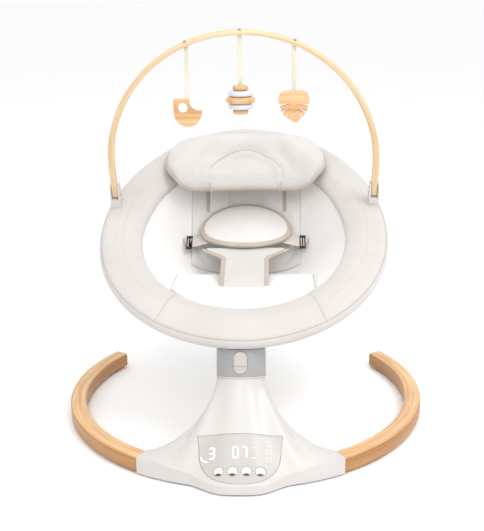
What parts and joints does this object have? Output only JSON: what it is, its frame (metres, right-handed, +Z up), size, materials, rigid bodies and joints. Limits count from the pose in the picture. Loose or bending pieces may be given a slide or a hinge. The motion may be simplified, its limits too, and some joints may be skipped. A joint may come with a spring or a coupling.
{
  "type": "baby swing",
  "caption": "Electric baby swing: padded oval seat with harness, pillow and wooden toy bar on a leaning column with a bent wood floor ring.",
  "frame": {"origin": "on the floor under the middle of the object's box", "axes": "+Z up, -Y is the front with the control panel, +X to the right seen from the front"},
  "size_m": [0.6, 0.6335, 0.6344],
  "materials": {
    "wood": "clear matt varnish",
    "white_plastic": "fine satin",
    "cream_plastic": "satin",
    "grey_plastic": "satin",
    "black_plastic": "satin",
    "rubber": "matt",
    "steel": "brushed",
    "tube": "powder coat",
    "display": "lit from behind",
    "board": "solder resist",
    "copper": "enamelled wire",
    "velvet": "short pile velvet",
    "white_cloth": "soft jersey",
    "webbing": "woven webbing",
    "ribbon": "woven ribbon",
    "pale_wood": "matt paint on wood"
  },
  "bodies": {
    "base": {"base_housing": "white_plastic", "base_cover": "white_plastic", "left_leg": "wood", "right_leg": "wood", "leg_feet": "rubber", "base_feet": "rubber", "leg_screws": "steel", "cover_screws": "steel", "control_panel": "white_plastic", "display_digits": "display", "display_symbols": "display", "control_board": "board", "speaker": "black_plastic", "power_inlet": "black_plastic", "bearing_housing": "grey_plastic", "lower_bearing": "steel", "upper_bearing": "steel", "drive_coil": "copper"},
    "seat": {"swing_shaft": "steel", "magnet_arm": "grey_plastic", "drive_magnet": "steel", "collar_ring": "white_plastic", "collar_shell": "grey_plastic", "latch_spring": "steel", "seat_hub": "grey_plastic", "seat_frame": "tube", "seat_support": "tube", "rim_cover": "velvet", "seat_liner": "white_cloth", "seat_cushion": "white_cloth", "back_panel": "velvet", "head_pillow": "velvet", "belly_pad": "velvet", "crotch_strap": "velvet", "left_shoulder_pad": "velvet", "right_shoulder_pad": "velvet", "left_waist_strap": "webbing", "right_waist_strap": "webbing", "strap_sliders": "black_plastic", "label_tag": "velvet", "left_socket": "white_plastic", "right_socket": "white_plastic", "bar_pins": "steel"},
    "power_button": {"power_button": "white_plastic"},
    "speed_button": {"speed_button": "white_plastic"},
    "timer_button": {"timer_button": "white_plastic"},
    "sound_button": {"sound_button": "white_plastic"},
    "latch_button": {"latch_button": "cream_plastic"},
    "toy_bar": {"toy_bar": "wood", "bar_knobs": "grey_plastic"},
    "left_toy": {"left_ribbon": "ribbon", "teether": "wood"},
    "middle_toy": {"middle_ribbon": "ribbon", "wooden_rings": "wood", "pale_rings": "pale_wood"},
    "right_toy": {"right_ribbon": "ribbon", "wooden_leaf": "wood"}
  },
  "joints": [
    {"name": "swing", "type": "hinge", "parent": "base", "child": "seat", "pos_m": [0, -0.16713, 0.12], "axis": [0, 0.309, 0.9511], "range_deg": [-12, 12]},
    {"name": "latch_press", "type": "slide", "parent": "seat", "child": "latch_button", "axis": [0, 0.9511, -0.309], "range_m": [0, 0.003], "stiffness_N_per_m": 900},
    {"name": "power_press", "type": "slide", "parent": "base", "child": "power_button", "axis": [0, 0.6649, -0.7469], "range_m": [0, 0.0012], "stiffness_N_per_m": 800},
    {"name": "speed_press", "type": "slide", "parent": "base", "child": "speed_button", "axis": [0, 0.6649, -0.7469], "range_m": [0, 0.0012], "stiffness_N_per_m": 800},
    {"name": "timer_press", "type": "slide", "parent": "base", "child": "timer_button", "axis": [0, 0.6649, -0.7469], "range_m": [0, 0.0012], "stiffness_N_per_m": 800},
    {"name": "sound_press", "type": "slide", "parent": "base", "child": "sound_button", "axis": [0, 0.6649, -0.7469], "range_m": [0, 0.0012], "stiffness_N_per_m": 800},
    {"name": "bar_tilt", "type": "hinge", "parent": "seat", "child": "toy_bar", "pos_m": [0, 0.08731, 0.35558], "axis": [1, 0, 0], "range_deg": [-40, 60]},
    {"name": "left_toy_swing", "type": "hinge", "parent": "toy_bar", "child": "left_toy", "pos_m": [-0.084, -0.00847, 0.60509], "axis": [1, 0, 0], "range_deg": [-40, 40]},
    {"name": "middle_toy_swing", "type": "hinge", "parent": "toy_bar", "child": "middle_toy", "pos_m": [0, -0.01503, 0.62216], "axis": [1, 0, 0], "range_deg": [-40, 40]},
    {"name": "right_toy_swing", "type": "hinge", "parent": "toy_bar", "child": "right_toy", "pos_m": [0.084, -0.00847, 0.60509], "axis": [1, 0, 0], "range_deg": [-40, 40]}
  ]
}
